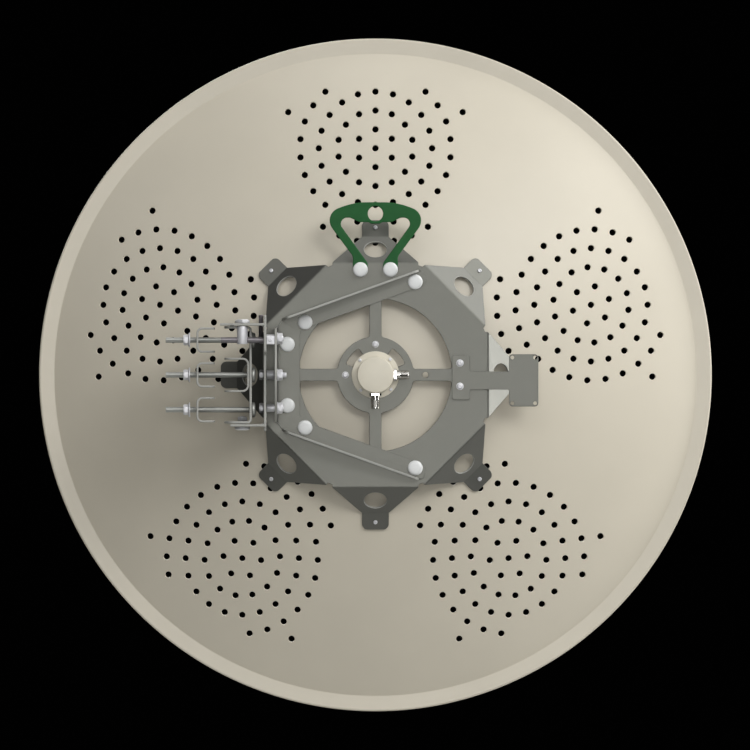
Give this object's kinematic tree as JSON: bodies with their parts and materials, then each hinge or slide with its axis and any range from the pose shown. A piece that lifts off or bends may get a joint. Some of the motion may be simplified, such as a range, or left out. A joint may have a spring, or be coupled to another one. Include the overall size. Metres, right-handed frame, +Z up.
{
  "type": "parabolic dish antenna",
  "caption": "Parabolic dish antenna: pressed reflector on a legged back plate, feed on its axis, and a pole clamp beside it with upright and level pivots.",
  "frame": {"origin": "centre of the pole-side face of the front saddle's web, level with the dish axis", "axes": "+Z up, +Y the way the dish looks, +X to the right seen from behind the dish"},
  "size_m": [0.943, 0.4828, 0.943],
  "materials": {
    "reflector_paint": "satin cream powder coat",
    "bracket_paint": "satin grey powder coat",
    "handle_paint": "satin green powder coat",
    "bright_zinc": "bright zinc plate",
    "thread_steel": "plain threaded steel",
    "feed_metal": "satin machined aluminium",
    "nickel": "polished nickel",
    "white_plastic": "matt white"
  },
  "bodies": {
    "pole_clamp": {"pole_bracket": "bracket_paint", "front_saddle": "bracket_paint", "rear_saddle_top": "bracket_paint", "rear_saddle_middle": "bracket_paint", "rear_saddle_bottom": "bracket_paint", "clamp_bolt_back_top": "thread_steel", "clamp_bolt_back_middle": "thread_steel", "clamp_bolt_back_bottom": "thread_steel", "clamp_bolt_front_top": "thread_steel", "clamp_bolt_front_middle": "thread_steel", "clamp_bolt_front_bottom": "thread_steel", "azimuth_pivot_top": "bright_zinc", "azimuth_pivot_bottom": "bright_zinc"},
    "yoke": {"azimuth_yoke": "bracket_paint", "adjuster_post": "bright_zinc", "adjuster_screw": "thread_steel", "adjuster_block": "bright_zinc", "set_screw": "thread_steel", "tilt_pivot": "bright_zinc", "tilt_lock_top": "bright_zinc", "tilt_lock_bottom": "bright_zinc"},
    "dish": {"tilt_bracket": "bracket_paint", "back_plate": "bracket_paint", "reflector": "reflector_paint", "handle": "handle_paint", "handle_bolt_left": "bright_zinc", "handle_bolt_right": "bright_zinc", "bracket_bolt_1": "bright_zinc", "bracket_bolt_2": "bright_zinc", "bracket_bolt_3": "bright_zinc", "bracket_bolt_4": "bright_zinc", "bracket_bolt_5": "bright_zinc", "bracket_bolt_6": "bright_zinc", "feed_flange": "feed_metal", "feed_housing": "feed_metal", "feed_tube": "feed_metal", "feed_cone": "white_plastic", "sub_reflector": "feed_metal", "connector_right": "nickel", "connector_bottom": "nickel", "radio_bracket": "bracket_paint"}
  },
  "joints": [
    {"name": "azimuth", "type": "hinge", "parent": "pole_clamp", "child": "yoke", "pos_m": [-0.0065, 0, 0], "axis": [0, 0, 1], "range_deg": [-10, 10]},
    {"name": "elevation", "type": "hinge", "parent": "yoke", "child": "dish", "pos_m": [0.04, 0, 0], "axis": [1, 0, 0], "range_deg": [-20, 20]}
  ]
}
